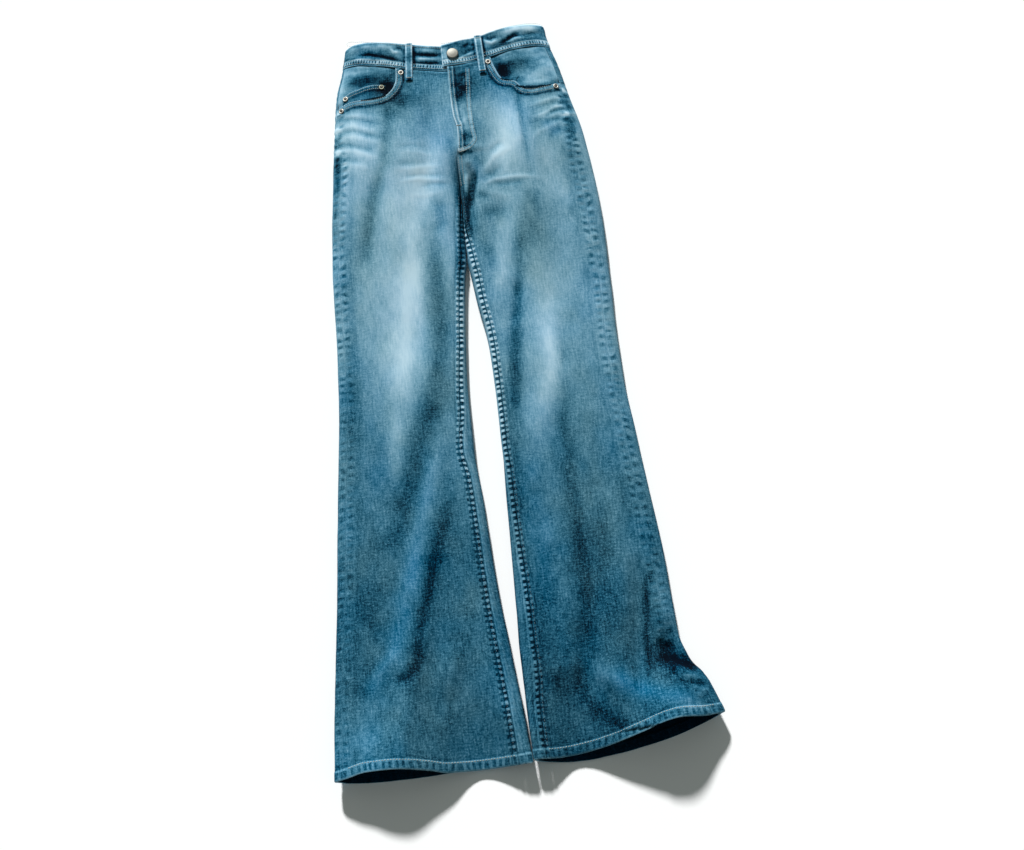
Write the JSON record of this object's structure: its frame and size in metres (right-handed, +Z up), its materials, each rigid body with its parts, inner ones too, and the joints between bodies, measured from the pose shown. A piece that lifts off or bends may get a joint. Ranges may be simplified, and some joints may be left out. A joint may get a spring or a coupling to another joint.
{
  "type": "flared jeans",
  "caption": "Flared high-rise jeans lying flat, front up: hollow legs, lapped fly, front and back pockets, and a waistband with belt loops, a button and rivets.",
  "frame": {"origin": "on the surface that the jeans lie on, under the middle of their bounding box", "axes": "+Y from the hems to the waist, +X towards the half that is on the right as seen from above (the wearer's left), +Z up from the surface"},
  "size_m": [0.5066, 1.0724, 0.0528],
  "materials": {
    "denim": "mid-blue washed stretch denim, faded down the thighs",
    "denim_dark": "darker unfaded denim inside the pocket mouths",
    "silver": "matte silver button and rivets"
  },
  "bodies": {
    "root": {"front_left": "denim", "front_right": "denim", "back_left": "denim", "back_right": "denim", "yoke_left": "denim", "yoke_right": "denim", "pocket_facing_left": "denim_dark", "pocket_facing_right": "denim_dark", "back_pocket_left": "denim", "back_pocket_right": "denim", "coin_pocket": "denim", "waistband": "denim", "belt_loop_front_left": "denim", "belt_loop_front_right": "denim", "belt_loop_back_left": "denim", "belt_loop_back_centre": "denim", "belt_loop_back_right": "denim", "button": "silver", "rivet_waist_left": "silver", "rivet_waist_right": "silver", "rivet_side_left": "silver", "rivet_side_right": "silver", "rivet_coin_left": "silver", "rivet_coin_right": "silver"}
  },
  "joints": []
}
